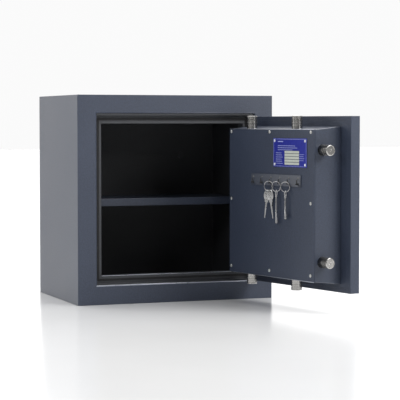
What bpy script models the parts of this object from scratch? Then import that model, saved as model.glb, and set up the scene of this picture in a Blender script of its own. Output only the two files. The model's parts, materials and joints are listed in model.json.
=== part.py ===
"""Free-standing steel safe with its door open and its bolts thrown.

Every position below is written in millimetres from the front lower left corner of
the closed safe: X to the right, Y into the safe, Z up.  The helper at() turns that
into metres in the part's own frame, whose origin is the middle of the base.
Door pieces are modelled closed, then carried open by one empty on the hinge axis.
"""
import math
import bpy

# ---------------------------------------------------------------- driving sizes (mm)
WIDTH, DEPTH, HEIGHT = 500.0, 336.0, 500.0
GAP = 0.3                      # clearance between neighbouring pieces
SKIN = 4.0                     # casing sheet
FACE = 5.0                     # casing front plate
# opening in the front plate: left, right, bottom, top
MOUTH = (45.0, 455.0, 44.0, 458.0)
REBATE = (49.0, 451.0, 48.0, 451.5)     # opening the door plate sits in
THROAT = (67.0, 433.0, 66.5, 431.7)     # clear opening behind the stop
STOP_Y, LIP_Y = 27.5, 60.0              # stop face and rear of the lip
LINER = (36.3, 463.7, 36.3, 463.7)
LINER_BACK = 302.0
LINER_T = 2.0
SHELF_TOP, SHELF_T, SHELF_LIP, SHELF_FRONT = 247.2, 2.0, 18.5, 121.0

OPEN_ANGLE = 102.0             # degrees, door open at rest
HINGE_X, HINGE_Y = 458.5, -8.0
PLATE = (51.0, 449.0, 50.0, 448.8)
PLATE_T = 25.0
POCKET = (61.0, 439.0, 60.0, 438.8)
POCKET_Y = 8.0
BOX = (86.0, 428.0, 69.4, 425.9)        # boltwork box where it meets the door slab
BOX_LEAN = 6.6                          # lock side slopes in by this much at the cover
ROOF_LEAN = 7.2                         # top and bottom slope in by this much at the cover
BOX_WALL, BOX_BACK, COVER_T = 2.0, 94.2, 1.8
FLANGE = 20.0
BOLT_R, BOLT_Y = 12.4, 74.0
BOLT_X = (187.0, 366.0)                 # the two upright pairs
SIDE_BOLT_Z = (120.5, 372.3)
TOP_TIP, BOTTOM_TIP, SIDE_TIP = 449.6, 50.0, 61.0
HUB_X, HUB_Z = 215.0, 250.0             # handle spindle
STROKE = 30.0
PITCH_R = STROKE / (math.pi / 2.0)      # pinion radius for a quarter turn per stroke
KEY_X, KEY_Z = 300.0, 250.0
PIVOT_Z = 272.0
SCREW_X, SCREW_Z = (105.0, 263.0, 420.0), (90.4, 252.4, 412.4)
HOOK_X0, HOOK_STEP, HOOKS, HOOK_Z = 150.5, 35.0, 6, 298.5
RATING = (119.0, 247.0, 332.6, 398.2)
LABEL = (147.0, 202.0, 337.4, 370.2)
HINGE_Z = (120.0, 380.0)                # middle of each hinge
ANCHORS, ANCHOR_Z = (130.0, 370.0), 350.0

FINISHES = {
    "paint": ((0.080, 0.092, 0.122), 0.0, 0.45),
    "paint_dark": ((0.045, 0.050, 0.062), 0.0, 0.50),
    "concrete": ((0.42, 0.41, 0.39), 0.0, 0.90),
    "steel": ((0.56, 0.56, 0.57), 1.0, 0.32),
    "zinc": ((0.66, 0.66, 0.64), 1.0, 0.38),
    "chrome": ((0.78, 0.78, 0.79), 1.0, 0.12),
    "brass": ((0.72, 0.53, 0.22), 1.0, 0.30),
    "rubber": ((0.020, 0.020, 0.022), 0.0, 0.75),
    "plastic": ((0.030, 0.030, 0.034), 0.0, 0.45),
    "blue": ((0.030, 0.120, 0.420), 0.0, 0.40),
    "label": ((0.520, 0.580, 0.540), 0.0, 0.55),
}


# ---------------------------------------------------------------- scene set-up
def clear_scene():
    for obj in list(bpy.data.objects):
        bpy.data.objects.remove(obj, do_unlink=True)


def new_collection(name, parent=None):
    found = bpy.data.collections.new(name)
    (parent or bpy.context.scene.collection).children.link(found)
    return found


def at(x, y, z):
    return ((x - WIDTH / 2) / 1000.0, (y - DEPTH / 2) / 1000.0, z / 1000.0)


def finish_for(node, kind):
    color, metallic, roughness = FINISHES[kind]
    made = bpy.data.materials.new(node)
    made.use_nodes = True
    shader = made.node_tree.nodes["Principled BSDF"]
    shader.inputs["Base Color"].default_value = (*color, 1.0)
    shader.inputs["Metallic"].default_value = metallic
    shader.inputs["Roughness"].default_value = roughness
    return made


def file_in(obj, collection):
    for held in list(obj.users_collection):
        held.objects.unlink(obj)
    collection.objects.link(obj)


def settle_scale(obj):
    bpy.ops.object.select_all(action="DESELECT")
    obj.select_set(True)
    bpy.context.view_layer.objects.active = obj
    bpy.ops.object.transform_apply(location=False, rotation=True, scale=True)


# ---------------------------------------------------------------- plain shapes
def block(name, x, y, z):
    """Box from three (low, high) pairs in mm."""
    centre = at((x[0] + x[1]) / 2, (y[0] + y[1]) / 2, (z[0] + z[1]) / 2)
    bpy.ops.mesh.primitive_cube_add(size=1.0, location=centre)
    obj = bpy.context.object
    obj.name = name
    obj.dimensions = [(p[1] - p[0]) / 1000.0 for p in (x, y, z)]
    bpy.context.view_layer.update()
    settle_scale(obj)
    return obj


def frame_block(name, rect, y):
    return block(name, rect[0:2], y, rect[2:4])


TURN = {"X": (0.0, math.pi / 2, 0.0), "Y": (math.pi / 2, 0.0, 0.0), "Z": (0.0, 0.0, 0.0)}


def rod(name, axis, centre, length, radius, sides=32):
    """Cylinder along an axis, centred at a point in mm."""
    bpy.ops.mesh.primitive_cylinder_add(vertices=sides, radius=radius / 1000.0, depth=length / 1000.0,
                                        location=at(*centre), rotation=TURN[axis])
    obj = bpy.context.object
    obj.name = name
    settle_scale(obj)
    return obj


def rod_y(name, x, z, y, radius, sides=32):
    return rod(name, "Y", (x, (y[0] + y[1]) / 2, z), y[1] - y[0], radius, sides)


def rod_z(name, x, y, z, radius, sides=32):
    return rod(name, "Z", (x, y, (z[0] + z[1]) / 2), z[1] - z[0], radius, sides)


def rod_x(name, y, z, x, radius, sides=32):
    return rod(name, "X", ((x[0] + x[1]) / 2, y, z), x[1] - x[0], radius, sides)


def dome(name, x, z, y, radius, height, sides=20):
    """Low round head standing on the plane y, facing into the safe."""
    bpy.ops.mesh.primitive_uv_sphere_add(segments=sides, ring_count=10, radius=radius / 1000.0,
                                         location=at(x, y, z))
    obj = bpy.context.object
    obj.name = name
    obj.scale = (1.0, height / radius, 1.0)
    settle_scale(obj)
    return obj


def ring(name, axis, centre, major, minor):
    bpy.ops.mesh.primitive_torus_add(major_radius=major / 1000.0, minor_radius=minor / 1000.0,
                                     major_segments=36, minor_segments=10,
                                     location=at(*centre), rotation=TURN[axis])
    obj = bpy.context.object
    obj.name = name
    settle_scale(obj)
    return obj


def soften(obj, width, segments=2):
    bevel = obj.modifiers.new("edge", "BEVEL")
    bevel.width = width / 1000.0
    bevel.segments = segments
    bevel.limit_method = "ANGLE"
    return obj


# ---------------------------------------------------------------- combining shapes
class Shop:
    """Holds the collections and files each finished piece where it belongs."""

    def __init__(self):
        self.parts = new_collection("wall_safe")
        self.tools = new_collection("cutters")
        self.tools.hide_render = True
        self.axes = {}

    def axis(self, name, x, y, z, parent=None, turn=0.0):
        pivot = bpy.data.objects.new(name, None)
        pivot.location = at(x, y, z)
        pivot.empty_display_size = 0.03
        self.parts.objects.link(pivot)
        self.axes[name] = pivot
        if parent:
            self.hang(pivot, parent)
        pivot.rotation_euler = (0.0, 0.0, math.radians(turn))
        return pivot

    def hang(self, obj, parent):
        """Parent while the empty is still unturned, keeping the modelled place."""
        pivot = self.axes[parent]
        base = [0.0, 0.0, 0.0]
        step = pivot
        while step:
            base = [b + p for b, p in zip(base, step.location)]
            step = step.parent
        obj.parent = pivot
        obj.location = [o - b for o, b in zip(obj.location, base)]

    def tool(self, obj):
        file_in(obj, self.tools)
        obj.hide_render = True
        obj.display_type = "WIRE"
        return obj

    def change(self, obj, other, operation, parent=None):
        self.tool(other)
        if parent:
            self.hang(other, parent)
        step = obj.modifiers.new(operation.lower(), "BOOLEAN")
        step.operation = operation
        step.solver = "EXACT"
        step.object = other

    def done(self, obj, kind, parent=None, less=(), plus=()):
        file_in(obj, self.parts)
        if parent:
            self.hang(obj, parent)
        for other in plus:
            self.change(obj, other, "UNION", parent)
        for other in less:
            self.change(obj, other, "DIFFERENCE", parent)
        obj.data.materials.clear()
        obj.data.materials.append(finish_for(obj.name, kind))
        return obj


def inset(rect, by):
    return (rect[0] + by, rect[1] - by, rect[2] + by, rect[3] - by)


# ---------------------------------------------------------------- cabinet
def anchor_holes(name, y):
    return [rod_y("%s_hole_%d" % (name, i), x, ANCHOR_Z, y, 6.0) for i, x in enumerate(ANCHORS)]


def build_casing(shop):
    casing = soften(block("outer_casing", (0, WIDTH), (0, DEPTH), (0, HEIGHT)), 1.0)
    hollow = block("casing_hollow", (SKIN, WIDTH - SKIN), (FACE, DEPTH - SKIN), (SKIN, HEIGHT - SKIN))
    mouth = frame_block("casing_mouth", MOUTH, (-10, FACE + 10))
    shop.done(casing, "paint", less=[hollow, mouth] + anchor_holes("casing", (DEPTH - 20, DEPTH + 10)))


def build_filling(shop):
    low, back = SKIN + GAP, DEPTH - SKIN - GAP
    body = block("wall_filling", (low, WIDTH - low), (FACE + GAP, back), (low, HEIGHT - low))
    room = frame_block("filling_room", inset(LINER, -GAP), (-10, LINER_BACK + GAP))
    shop.done(body, "concrete", less=[room] + anchor_holes("filling", (LINER_BACK - 5, DEPTH)))


def build_frame(shop):
    body = frame_block("door_frame", LINER, (FACE + GAP, LIP_Y))
    rebate = frame_block("frame_rebate", REBATE, (-10, STOP_Y))
    throat = frame_block("frame_throat", THROAT, (-10, LIP_Y + 10))
    shop.done(body, "paint_dark", less=[rebate, throat])


def build_lining(shop):
    body = frame_block("inner_lining", LINER, (LIP_Y + GAP, LINER_BACK))
    room = frame_block("lining_room", inset(LINER, LINER_T), (LIP_Y - 10, LINER_BACK - LINER_T))
    holes = [rod_y("lining_hole_%d" % i, x, ANCHOR_Z, (LINER_BACK - 10, LINER_BACK + 10), 6.0)
             for i, x in enumerate(ANCHORS)]
    shop.done(body, "paint_dark", less=[room] + holes)


def build_seal(shop):
    body = frame_block("door_seal", (56.0, 444.0, 55.0, 444.5), (STOP_Y - 2.0, STOP_Y - GAP))
    room = frame_block("seal_room", (61.0, 439.0, 60.0, 439.5), (STOP_Y - 10, STOP_Y + 10))
    shop.done(body, "rubber", less=[room])


def build_shelf(shop):
    side = LINER[0] + LINER_T + 1.0
    rear = LINER_BACK - LINER_T - 1.0
    top = block("shelf", (side, WIDTH - side), (SHELF_FRONT, rear), (SHELF_TOP - SHELF_T, SHELF_TOP))
    lip = block("shelf_lip", (side, WIDTH - side), (SHELF_FRONT, SHELF_FRONT + SHELF_T),
                (SHELF_TOP - SHELF_LIP, SHELF_TOP - 0.5))
    turned = block("shelf_return", (side, WIDTH - side), (SHELF_FRONT, SHELF_FRONT + 12),
                   (SHELF_TOP - SHELF_LIP, SHELF_TOP - SHELF_LIP + SHELF_T))
    shop.done(top, "paint", plus=[lip, turned])


def build_rails(shop):
    wall = LINER[0] + LINER_T + GAP
    z_top = SHELF_TOP - SHELF_T - GAP
    ways = (("left", wall, 1.0), ("right", WIDTH - wall, -1.0))
    for side, x, way in ways:
        span = sorted((x, x + way * 2.0))
        reach = sorted((x, x + way * 16.0))
        upright = block("shelf_rail_" + side, span, (SHELF_FRONT + 20, 290), (z_top - 18, z_top))
        arm = block("rail_arm_" + side, reach, (SHELF_FRONT + 20, 290), (z_top - 2.0, z_top))
        heads = [rod_x("rail_rivet_%s_%d" % (side, i), y, z_top - 11,
                       sorted((x + way * 1.0, x + way * 3.6)), 3.5, 20) for i, y in enumerate((165, 270))]
        shop.done(upright, "paint_dark", plus=[arm] + heads)


def build_anchor_plugs(shop):
    for i, x in enumerate(ANCHORS):
        inner = LINER_BACK - LINER_T
        cap = rod_y("anchor_plug_%d" % (i + 1), x, ANCHOR_Z, (inner - GAP - 2.0, inner - GAP), 9.0)
        stem = rod_y("plug_stem_%d" % i, x, ANCHOR_Z, (inner - 2.0, inner + 8.0), 5.5)
        shop.done(cap, "plastic", plus=[stem])


def build_hinges(shop):
    """Lift-off hinge: lower knuckle and pin on the cabinet, upper knuckle on the door."""
    for place, mid in zip(("lower", "upper"), HINGE_Z):
        leaf = block("hinge_frame_leaf_" + place, (HINGE_X + 1.0, 492.0), (-3.5, -GAP), (mid - 28, mid - 0.5))
        knuckle = rod_z("frame_knuckle_" + place, HINGE_X, HINGE_Y, (mid - 28, mid - 0.5), 6.5)
        web = block("frame_web_" + place, (HINGE_X + 2.0, HINGE_X + 8.5), (-7.0, -1.0), (mid - 28, mid - 0.5))
        bore = rod_z("frame_bore_" + place, HINGE_X, HINGE_Y, (mid - 40, mid + 5), 3.5)
        shop.done(leaf, "paint", plus=[web, knuckle], less=[bore])
        pin = rod_z("hinge_pin_" + place, HINGE_X, HINGE_Y, (mid - 27, mid + 24), 3.1)
        foot = rod_z("pin_foot_" + place, HINGE_X, HINGE_Y, (mid - 30.5, mid - 28.4), 5.0)
        neck = rod_z("pin_neck_" + place, HINGE_X, HINGE_Y, (mid - 29.5, mid - 20), 3.1)
        shop.done(pin, "steel", plus=[neck, foot])
        washer = rod_z("hinge_washer_" + place, HINGE_X, HINGE_Y, (mid - 0.2, mid + 1.2), 6.2)
        eye = rod_z("washer_eye_" + place, HINGE_X, HINGE_Y, (mid - 5, mid + 5), 3.5)
        shop.done(washer, "brass", less=[eye])


def build_door_leaves(shop):
    for place, mid in zip(("lower", "upper"), HINGE_Z):
        span = (mid + 1.5, mid + 29.0)
        leaf = block("hinge_door_leaf_" + place, (416.0, HINGE_X - 1.0), (-3.5, -GAP), span)
        knuckle = rod_z("door_knuckle_" + place, HINGE_X, HINGE_Y, span, 6.5)
        web = block("door_web_" + place, (HINGE_X - 8.5, HINGE_X - 2.0), (-7.0, -1.0), span)
        bore = rod_z("door_bore_" + place, HINGE_X, HINGE_Y, (mid - 5, mid + 25.5), 3.5)
        shop.done(leaf, "paint", "door_axis", plus=[web, knuckle], less=[bore])


# ---------------------------------------------------------------- door slab
def spindle_hole(name, y, radius=8.0):
    return rod_y(name + "_spindle_hole", HUB_X, HUB_Z, y, radius)


def key_hole(name, y, radius=5.5):
    return rod_y(name + "_key_hole", KEY_X, KEY_Z, y, radius)


def build_door_slab(shop):
    panel = soften(frame_block("door_panel", PLATE, (0, PLATE_T)), 0.8)
    pocket = frame_block("panel_pocket", POCKET, (POCKET_Y, PLATE_T + 10))
    shop.done(panel, "paint", "door_axis",
              less=[pocket, spindle_hole("panel", (-10, 40)), key_hole("panel", (-10, 40))])
    filling = frame_block("door_filling", inset(POCKET, GAP), (POCKET_Y + GAP, PLATE_T - 2.3))
    shop.done(filling, "concrete", "door_axis",
              less=[spindle_hole("filling", (-10, 40)), key_hole("filling", (-10, 40))])
    back = frame_block("door_back_plate", inset(POCKET, GAP), (PLATE_T - 2.0, PLATE_T))
    shop.done(back, "paint_dark", "door_axis",
              less=[spindle_hole("back", (-10, 40)), key_hole("back", (-10, 40))])


# ---------------------------------------------------------------- boltwork box
def lean_in(obj, side, ends):
    """Slide a block's rear edges inwards, which slopes its lock side, top and bottom."""
    for corner in obj.data.vertices:
        if corner.co.y > 0:
            corner.co.z -= math.copysign(ends / 1000.0, corner.co.z)
            if corner.co.x < 0:
                corner.co.x += side / 1000.0
    return obj


def bolt_ways(name, radius):
    """Clearance holes where the bolts leave the box."""
    ways = []
    for i, x in enumerate(BOLT_X):
        ways.append(rod_z("%s_way_top_%d" % (name, i), x, BOLT_Y, (BOX[3] - 30, BOX[3] + 10), radius))
        ways.append(rod_z("%s_way_low_%d" % (name, i), x, BOLT_Y, (BOX[2] - 10, BOX[2] + 30), radius))
    for i, z in enumerate(SIDE_BOLT_Z):
        ways.append(rod_x("%s_way_side_%d" % (name, i), BOLT_Y, z, (BOX[0] - 10, BOX[0] + 35), radius))
    return ways


def screw_spots():
    return [(x, z) for z in SCREW_Z for x in SCREW_X if (x, z) != (SCREW_X[1], SCREW_Z[1])]


def build_box(shop):
    low = PLATE_T + GAP
    slope, pitch = BOX_LEAN / (BOX_BACK - low), ROOF_LEAN / (BOX_BACK - low)
    box = lean_in(frame_block("boltwork_box", BOX, (low, BOX_BACK)), BOX_LEAN, ROOF_LEAN)
    soften(box, 1.5)
    wall = BOX_WALL * math.hypot(1.0, slope)
    inner = (BOX[0] + wall - slope * low, BOX[1] - BOX_WALL,
             BOX[2] + BOX_WALL - pitch * low, BOX[3] - BOX_WALL + pitch * low)
    depth = BOX_BACK - BOX_WALL
    room = lean_in(frame_block("box_room", inner, (0, depth)), slope * depth, pitch * depth)
    rim = (BOX[0] + BOX_LEAN + FLANGE, BOX[1] - FLANGE, BOX[2] + ROOF_LEAN + FLANGE, BOX[3] - ROOF_LEAN - FLANGE)
    window = frame_block("box_window", rim, (0, BOX_BACK + 10))
    holes = [rod_y("box_screw_hole_%d" % i, x, z, (BOX_BACK - 10, BOX_BACK + 10), 2.2, 16)
             for i, (x, z) in enumerate(screw_spots())]
    shop.done(box, "paint", "door_axis", less=[room, window] + bolt_ways("box", BOLT_R + 0.6) + holes)


def build_cover(shop):
    face = (BOX_BACK + GAP, BOX_BACK + GAP + COVER_T)
    rim = (BOX[0] + BOX_LEAN, BOX[1], BOX[2] + ROOF_LEAN, BOX[3] - ROOF_LEAN)
    cover = soften(frame_block("cover_plate", rim, face), 0.5)
    holes = [rod_y("cover_screw_hole_%d" % i, x, z, (face[0] - 5, face[1] + 5), 2.2, 16)
             for i, (x, z) in enumerate(screw_spots())]
    shop.done(cover, "paint", "door_axis", less=holes)
    head = face[1] + GAP
    for i, (x, z) in enumerate(screw_spots()):
        top = rod_y("cover_screw_%d" % (i + 1), x, z, (head, head + 0.8), 3.9, 24)
        cap = dome("screw_dome_%d" % i, x, z, head + 0.7, 3.5, 1.9)
        low = block("screw_level_%d" % i, (x - 8, x + 8), (head - 8, head), (z - 8, z + 8))
        stem = rod_y("screw_stem_%d" % i, x, z, (head - 9.0, head + 0.5), 1.8, 16)
        slot_a = block("screw_slot_a_%d" % i, (x - 1.9, x + 1.9), (head + 1.5, head + 6), (z - 0.45, z + 0.45))
        slot_b = block("screw_slot_b_%d" % i, (x - 0.45, x + 0.45), (head + 1.5, head + 6), (z - 1.9, z + 1.9))
        shop.done(top, "zinc", "door_axis", plus=[cap])
        shop.change(top, low, "DIFFERENCE", "door_axis")
        shop.change(top, stem, "UNION", "door_axis")
        shop.change(top, slot_a, "DIFFERENCE", "door_axis")
        shop.change(top, slot_b, "DIFFERENCE", "door_axis")


def build_rating_plate(shop):
    base = BOX_BACK + 2 * GAP + COVER_T
    plate = soften(frame_block("rating_plate", RATING, (base, base + 1.0)), 0.3, 1)
    spots = [(x, z) for x in (RATING[0] + 6, RATING[1] - 6) for z in (RATING[2] + 6, RATING[3] - 6)]
    rivets = [rod_y("rating_rivet_%d" % i, x, z, (base + 0.5, base + 2.0), 2.6, 20)
              for i, (x, z) in enumerate(spots)]
    shop.done(plate, "blue", "door_axis", plus=rivets)
    label = frame_block("rating_label", LABEL, (base + 1.0 + GAP, base + 1.0 + GAP + 0.4))
    shop.done(label, "label", "door_axis")


# ---------------------------------------------------------------- key hooks and keys
def hook_x(i):
    return HOOK_X0 + HOOK_STEP * i


def build_hooks(shop):
    base = BOX_BACK + 2 * GAP + COVER_T
    span = (hook_x(0) - 10, hook_x(HOOKS - 1) + 10)
    rail = soften(block("key_hook_rail", span, (base, base + 1.6), (HOOK_Z - 10.5, HOOK_Z + 16.5)), 0.3, 1)
    extra = []
    for i in range(HOOKS):
        x = hook_x(i)
        extra.append(rod_y("hook_peg_%d" % i, x, HOOK_Z - 4, (base + 0.8, base + 11.0), 1.5, 12))
        extra.append(rod_z("hook_tip_%d" % i, x, base + 10.6, (HOOK_Z - 6.6, HOOK_Z + 5.5), 1.9, 12))
    shop.done(rail, "plastic", "door_axis", plus=extra)


def key_shapes(name, x, y, bow_z, length, bow_r, stem_r, bit):
    """Bow, stem and bit of one key hanging from (x, bow_z)."""
    shapes = [rod_y(name + "_bow", x, bow_z, (y - 1.0, y + 1.0), bow_r, 28),
              rod_z(name + "_stem", x, y, (bow_z - length, bow_z - bow_r + 2.0), stem_r, 16)]
    if bit:
        shapes.append(block(name + "_bit", (x - 8.5, x), (y - 0.9, y + 0.9),
                            (bow_z - length + 1.0, bow_z - length + 11.0)))
    return shapes


def build_key_sets(shop):
    """Two long keys and a pair of small ones, each set on a ring over its hook."""
    y = BOX_BACK + 2 * GAP + COVER_T + 5.6
    ring_r, wire = 11.4, 1.0
    for i, (hook, length) in enumerate(((3, 58.0), (2, 69.5), (1, 58.5))):
        x = hook_x(hook)
        cz = HOOK_Z - 4 + 1.5 + GAP + wire - ring_r + wire
        loop = ring("key_set_%d" % (i + 1), "Y", (x, y, cz), ring_r, wire)
        bow_z = cz - ring_r - 5.0
        if i == 0:
            extra = key_shapes("key_a", x - 5.0, y, bow_z, length, 7.5, 1.8, False)
            extra += key_shapes("key_b", x + 5.0, y, bow_z, length + 2.0, 7.6, 1.8, False)
        else:
            extra = key_shapes("key_%d" % i, x, y, bow_z, length, 7.5, 2.0, True)
        shop.done(loop, "steel", "door_axis", plus=extra)


# ---------------------------------------------------------------- lock
def build_lock(shop):
    plate = block("drill_plate", (262.0, 338.0), (PLATE_T + GAP, PLATE_T + 6.0), (210.0, 290.0))
    shop.done(plate, "steel", "door_axis", less=[key_hole("drill", (0, 60), 5.5)])
    case = soften(block("lock_case", (268.0, 332.0), (PLATE_T + 6.0 + GAP, 57.0), (216.0, 284.0)), 1.0)
    way = block("lock_bolt_way", (255.0, 292.0), (37.5, 49.5), (240.0, 260.0))
    shop.done(case, "zinc", "door_axis", less=[key_hole("case", (0, 50), 5.5), way])
    bolt = block("lock_bolt", (262.0, 285.0), (38.2, 48.8), (241.0, 259.0))
    shop.done(bolt, "brass", "door_axis")
    scutcheon = soften(block("key_escutcheon", (284.0, 316.0), (-3.5, -GAP), (228.0, 282.0)), 1.0)
    slot = block("scutcheon_slot", (KEY_X - 1.6, KEY_X + 1.6), (-10, 10), (KEY_Z - 9.0, KEY_Z))
    seat = rod_y("scutcheon_seat", KEY_X, PIVOT_Z, (-10, 10), 2.9, 20)
    shop.done(scutcheon, "chrome", "door_axis", less=[key_hole("scutcheon", (-10, 10), 3.4), slot, seat])
    pin = rod_y("key_cover_pin", KEY_X, PIVOT_Z, (-8.4, -6.5), 5.0, 24)
    stem = rod_y("cover_pin_stem", KEY_X, PIVOT_Z, (-7.5, -GAP), 2.5, 20)
    shop.done(pin, "chrome", "door_axis", plus=[stem])


def build_key_cover(shop):
    shop.axis("key_cover_axis", KEY_X, -5.0, PIVOT_Z, "door_axis")
    cover = rod_y("key_cover", KEY_X, KEY_Z, (-6.2, -3.8), 11.5, 40)
    arm = block("key_cover_arm", (KEY_X - 6.5, KEY_X + 6.5), (-6.2, -3.8), (KEY_Z, PIVOT_Z))
    eye = rod_y("key_cover_eye", KEY_X, PIVOT_Z, (-6.2, -3.8), 6.5, 28)
    hole = rod_y("key_cover_hole", KEY_X, PIVOT_Z, (-12, 3), 2.9, 20)
    shop.done(cover, "chrome", "key_cover_axis", plus=[arm, eye], less=[hole])


# ---------------------------------------------------------------- handle and pinion
def build_handle(shop):
    rose = soften(rod_y("handle_rose", HUB_X, HUB_Z, (-4.5, -GAP), 24.0, 48), 1.0)
    shop.done(rose, "chrome", "door_axis", less=[spindle_hole("rose", (-10, 10))])
    bush = rod_y("spindle_bush", HUB_X, HUB_Z, (PLATE_T + GAP, 56.0), 13.0, 32)
    shop.done(bush, "brass", "door_axis", less=[spindle_hole("bush", (0, 70), 7.5)])
    shop.axis("handle_axis", HUB_X, 0.0, HUB_Z, "door_axis")
    grip = soften(rod_y("handle_grip", HUB_X, HUB_Z, (-36.0, -4.8), 15.0, 48), 1.2)
    bar = soften(rod_z("handle_bar", HUB_X, -34.0, (HUB_Z - 52, HUB_Z + 52), 8.5, 32), 3.0, 3)
    socket = spindle_hole("grip", (-26, 0), 7.3)
    shop.done(grip, "chrome", "handle_axis", plus=[bar], less=[socket])
    spindle = rod_y("handle_spindle", HUB_X, HUB_Z, (-25.5, 90.0), 7.0, 32)
    shop.done(spindle, "steel", "handle_axis")
    build_pinion(shop)


def build_pinion(shop):
    hub = rod_y("hub_pinion", HUB_X, HUB_Z, (60.0, 86.0), PITCH_R - 3.2, 48)
    teeth = []
    for i in range(10):
        tooth = block("pinion_tooth_%d" % i, (HUB_X - 1.5, HUB_X + 1.5), (61.0, 85.0),
                      (HUB_Z - PITCH_R + 0.6, HUB_Z + PITCH_R - 0.6))
        tooth.rotation_euler = (0.0, math.radians(18.0 * i), 0.0)
        settle_scale(tooth)
        teeth.append(tooth)
    shop.done(hub, "steel", "handle_axis", plus=teeth, less=[spindle_hole("pinion", (50, 100), 7.3)])


# ---------------------------------------------------------------- bolts
def rack_notches(name, run, count, spot):
    """Tooth spaces along a rack edge; spot(step) gives the three spans of one space."""
    return [block("%s_space_%d" % (name, i), *spot(run * (i + 0.5) / count)) for i in range(count)]


def bolt(shop, name, axis, span, centre, parent):
    """Round bolt with a chamfered tip and a turned groove behind it."""
    make = {"Z": lambda n, s, r: rod_z(n, centre[0], BOLT_Y, s, r, 40),
            "X": lambda n, s, r: rod_x(n, BOLT_Y, centre[1], s, r, 40)}[axis]
    body = soften(make(name, span, BOLT_R), 0.9)
    shop.done(body, "steel", parent)


def build_side_bolts(shop):
    shop.axis("side_bolt_axis", 110.0, BOLT_Y, 246.0, "door_axis")
    bar = block("side_carriage", (100.0, 114.0), (66.5, 81.5), (108.0, 385.0))
    z_rack = HUB_Z + PITCH_R + 0.4
    strip = block("side_rack", (110.0, 262.0), (65.0, 71.0), (z_rack, z_rack + 9.0))
    spaces = rack_notches("side_rack", 90.0, 15, lambda s: (
        (168.0 + s - 1.7, 168.0 + s + 1.7), (60, 76), (z_rack - 1, z_rack + 2.6)))
    shop.done(bar, "zinc", "side_bolt_axis", plus=[strip], less=spaces)
    for place, z in zip(("lower", "upper"), SIDE_BOLT_Z):
        bolt(shop, "side_bolt_" + place, "X", (SIDE_TIP, 100.0 - GAP), (0, z), "side_bolt_axis")


def build_upright_bolts(shop):
    x_rack = PITCH_R + 0.4
    plan = (
        ("top", (360.0, 376.0), TOP_TIP, (HUB_X + x_rack, HUB_X + x_rack + 9.0), 1.0),
        ("bottom", (124.0, 140.0), BOTTOM_TIP, (HUB_X - x_rack - 9.0, HUB_X - x_rack), -1.0),
    )
    for place, bar_z, tip, rack_x, way in plan:
        pivot = place + "_bolt_axis"
        shop.axis(pivot, 276.5, BOLT_Y, sum(bar_z) / 2, "door_axis")
        bar = block(place + "_bolt_bar", (168.0, 385.0), (66.5, 81.5), bar_z)
        reach = (206.0, 368.0) if way > 0 else (132.0, 294.0)
        strip = block(place + "_rack", rack_x, (75.0, 81.0), reach)
        edge = rack_x[0] if way > 0 else rack_x[1]
        start = 210.0 if way > 0 else 200.0
        spaces = rack_notches(place + "_rack", 90.0, 15, lambda s: (
            sorted((edge - way * 1.0, edge + way * 2.6)), (70, 90), (start + s - 1.7, start + s + 1.7)))
        shop.done(bar, "zinc", pivot, plus=[strip], less=spaces)
        near = bar_z[1] + GAP if way > 0 else bar_z[0] - GAP
        for side, x in zip(("lock", "hinge"), BOLT_X):
            bolt(shop, "%s_bolt_%s" % (place, side), "Z", sorted((near, tip)), (x, 0), pivot)


def build_guides(shop):
    for place, z in (("top", (397.0, 400.0)), ("bottom", (95.0, 98.0))):
        plate = block("bolt_guide_" + place, (160.0, 393.0), (58.0, 90.0), z)
        foot = block("guide_foot_" + place, (160.0, 393.0), (PLATE_T + GAP, 60.0), z)
        ways = [rod_z("guide_way_%s_%d" % (place, i), x, BOLT_Y, (z[0] - 9, z[1] + 9), BOLT_R + 0.6)
                for i, x in enumerate(BOLT_X)]
        shop.done(plate, "zinc", "door_axis", plus=[foot], less=ways)


# ---------------------------------------------------------------- assembly
def build():
    clear_scene()
    shop = Shop()
    for step in (build_casing, build_filling, build_frame, build_lining, build_seal, build_shelf,
                 build_rails, build_anchor_plugs, build_hinges):
        step(shop)
    door = shop.axis("door_axis", HINGE_X, HINGE_Y, 0.0)
    for step in (build_door_leaves, build_door_slab, build_box, build_cover, build_rating_plate,
                 build_hooks, build_key_sets, build_lock, build_key_cover, build_handle,
                 build_side_bolts, build_upright_bolts, build_guides):
        step(shop)
    door.rotation_euler = (0.0, 0.0, math.radians(OPEN_ANGLE))
    bpy.context.view_layer.update()


build()
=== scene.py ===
import json
import math

import bmesh
import bpy
from mathutils import Matrix, Vector


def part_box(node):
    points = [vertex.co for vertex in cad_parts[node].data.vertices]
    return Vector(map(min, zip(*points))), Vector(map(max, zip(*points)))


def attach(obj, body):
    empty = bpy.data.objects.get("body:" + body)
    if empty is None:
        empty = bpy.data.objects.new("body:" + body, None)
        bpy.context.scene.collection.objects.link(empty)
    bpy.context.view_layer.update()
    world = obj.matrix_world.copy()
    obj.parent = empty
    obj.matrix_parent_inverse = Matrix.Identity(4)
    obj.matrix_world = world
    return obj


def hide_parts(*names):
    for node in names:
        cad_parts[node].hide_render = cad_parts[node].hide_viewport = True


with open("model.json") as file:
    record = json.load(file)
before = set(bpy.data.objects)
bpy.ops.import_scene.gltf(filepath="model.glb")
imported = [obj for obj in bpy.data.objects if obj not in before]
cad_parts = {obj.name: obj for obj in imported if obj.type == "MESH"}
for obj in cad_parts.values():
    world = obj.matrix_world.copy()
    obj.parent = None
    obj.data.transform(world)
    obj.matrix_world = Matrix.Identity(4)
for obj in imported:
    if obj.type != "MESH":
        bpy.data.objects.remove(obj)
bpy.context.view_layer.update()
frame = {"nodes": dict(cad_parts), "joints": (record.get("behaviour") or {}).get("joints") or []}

# ------------------------------------------------------------------ where the door hangs
JOINTS = {joint["name"]: joint for joint in frame["joints"]}
HINGE = Vector(JOINTS["door_swing"]["pos_m"])
OPEN = -math.radians(JOINTS["door_swing"]["range_deg"][0])
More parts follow.
